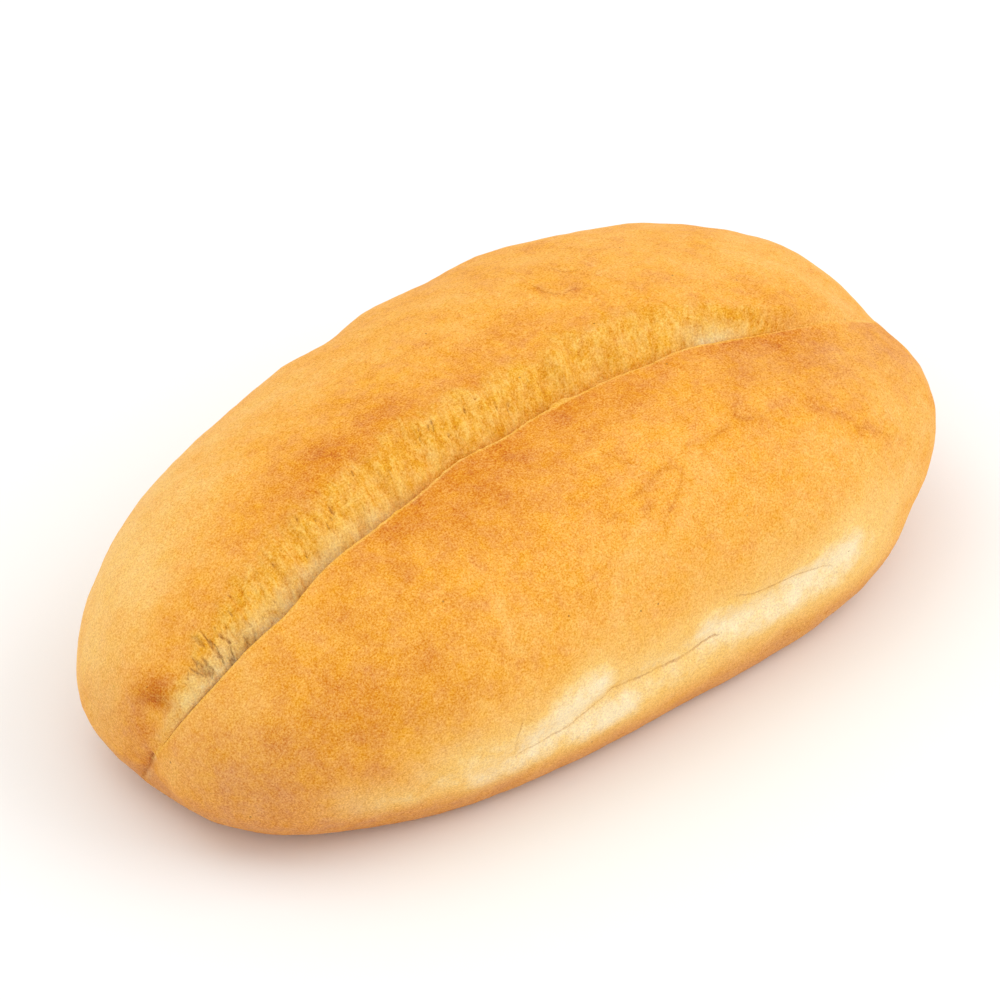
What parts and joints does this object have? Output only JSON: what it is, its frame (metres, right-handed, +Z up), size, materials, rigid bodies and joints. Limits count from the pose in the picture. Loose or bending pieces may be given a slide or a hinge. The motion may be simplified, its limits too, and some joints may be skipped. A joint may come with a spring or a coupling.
{
  "type": "bread roll",
  "caption": "Oblong golden wheat roll with a flat base and a lengthways score that has torn open between a low near lobe and a higher far lobe.",
  "frame": {"origin": "middle of the bounding box in plan, on the plane of the flat base", "axes": "+X along the roll towards its plumper end, +Y across the score from the low lobe to the high lobe, +Z up"},
  "size_m": [0.139, 0.0806, 0.0449],
  "materials": {
    "baked_crust": "matte"
  },
  "bodies": {
    "root": {"bread_roll": "baked_crust"}
  },
  "joints": []
}
